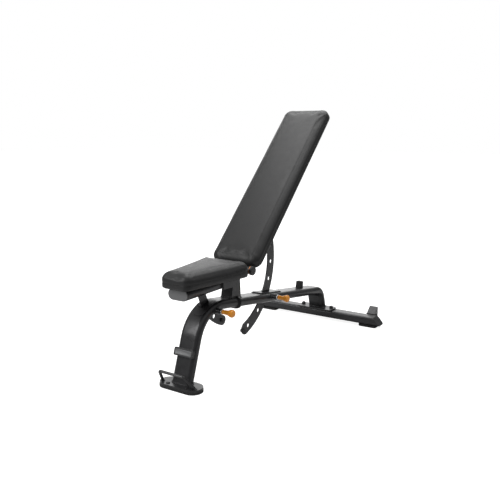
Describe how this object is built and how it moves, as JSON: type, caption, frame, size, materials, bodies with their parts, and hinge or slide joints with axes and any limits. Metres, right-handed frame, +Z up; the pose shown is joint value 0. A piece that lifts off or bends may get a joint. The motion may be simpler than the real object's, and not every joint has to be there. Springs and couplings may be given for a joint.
{
  "type": "adjustable weight bench",
  "caption": "Weight bench with a tilting seat and a reclining back on one axle, each held by a sprung pop-pin in a drilled arc, on a bent oval tube frame.",
  "frame": {"origin": "on the floor, at the middle of the footprint", "axes": "+Z up, +Y towards the head of the bench, +X to the side that has the pop-pins"},
  "size_m": [0.7846, 1.3959, 1.1735],
  "materials": {
    "frame_paint": "satin charcoal powder coat with a fine metallic fleck",
    "black_metal": "black oxide",
    "steel": "bright zinc plated",
    "bronze": "sintered bronze, oiled",
    "vinyl": "black upholstery vinyl with a fine grain",
    "board": "plywood under a black dust cloth",
    "rubber": "matte black",
    "black_plastic": "moulded, lightly textured",
    "grey_plastic": "moulded, satin",
    "orange_plastic": "moulded, soft gloss"
  },
  "bodies": {
    "frame": {"front_leg_tube": "frame_paint", "spine_tube": "frame_paint", "frame_collar": "frame_paint", "pivot_tower": "frame_paint", "front_foot_plate": "frame_paint", "lift_handle": "frame_paint", "seat_guide_plate": "frame_paint", "back_guide_plate": "frame_paint", "seat_pin_housing": "frame_paint", "back_pin_housing": "frame_paint", "rear_mount_plate": "frame_paint", "rear_stabilizer": "frame_paint", "wheel_bracket_left": "frame_paint", "wheel_bracket_right": "frame_paint", "front_foot_screw_left": "black_metal", "front_foot_screw_right": "black_metal", "rear_mount_bolt_left": "black_metal", "rear_mount_bolt_right": "black_metal", "wheel_axle_left": "black_metal", "wheel_axle_right": "black_metal", "pivot_axle": "steel", "seat_pin_collar": "steel", "back_pin_collar": "steel", "seat_pin_spring": "steel", "back_pin_spring": "steel", "front_foot_pad": "rubber", "stabilizer_foot_left": "rubber", "stabilizer_foot_right": "rubber", "back_bumper": "rubber", "axle_cap_left": "black_plastic", "axle_cap_right": "black_plastic", "stabilizer_cap_left": "black_plastic", "stabilizer_cap_right": "black_plastic", "badge_band": "black_plastic"},
    "seat": {"seat_support_tube": "frame_paint", "seat_hinge_lug_left": "frame_paint", "seat_hinge_lug_right": "frame_paint", "seat_adjust_arc": "frame_paint", "seat_arc_stop": "black_metal", "seat_pad": "vinyl", "seat_board": "board", "seat_tube_cap": "grey_plastic"},
    "back": {"back_support_tube": "frame_paint", "back_hinge_arm_left": "frame_paint", "back_hinge_arm_right": "frame_paint", "back_adjust_arc": "frame_paint", "back_arc_stop": "black_metal", "pivot_bush_left": "bronze", "pivot_bush_right": "bronze", "back_pad": "vinyl", "back_board": "board", "back_tube_cap_lower": "black_plastic", "back_tube_cap_upper": "black_plastic"},
    "back_pin": {"back_pin_plunger": "steel", "back_pin_knob": "orange_plastic"},
    "seat_pin": {"seat_pin_plunger": "steel", "seat_pin_knob": "orange_plastic"},
    "wheel_left": {"wheel_left": "rubber"},
    "wheel_right": {"wheel_right": "rubber"}
  },
  "joints": [
    {"name": "back_recline", "type": "hinge", "parent": "frame", "child": "back", "pos_m": [0, -0.254, 0.446], "axis": [1, 0, 0], "range_deg": [-55, 33]},
    {"name": "seat_tilt", "type": "hinge", "parent": "frame", "child": "seat", "pos_m": [0, -0.254, 0.446], "axis": [-1, 0, 0], "range_deg": [0, 15]},
    {"name": "back_pin_pull", "type": "slide", "parent": "frame", "child": "back_pin", "axis": [1, 0, 0], "range_m": [0, 0.012], "stiffness_N_per_m": 900, "springref_m": -0.01},
    {"name": "seat_pin_pull", "type": "slide", "parent": "frame", "child": "seat_pin", "axis": [1, 0, 0], "range_m": [0, 0.012], "stiffness_N_per_m": 900, "springref_m": -0.01},
    {"name": "wheel_left_spin", "type": "hinge", "parent": "frame", "child": "wheel_left", "pos_m": [-0.312, 0.67, 0.044], "axis": [1, 0, 0], "continuous": true},
    {"name": "wheel_right_spin", "type": "hinge", "parent": "frame", "child": "wheel_right", "pos_m": [0.312, 0.67, 0.044], "axis": [1, 0, 0], "continuous": true}
  ]
}
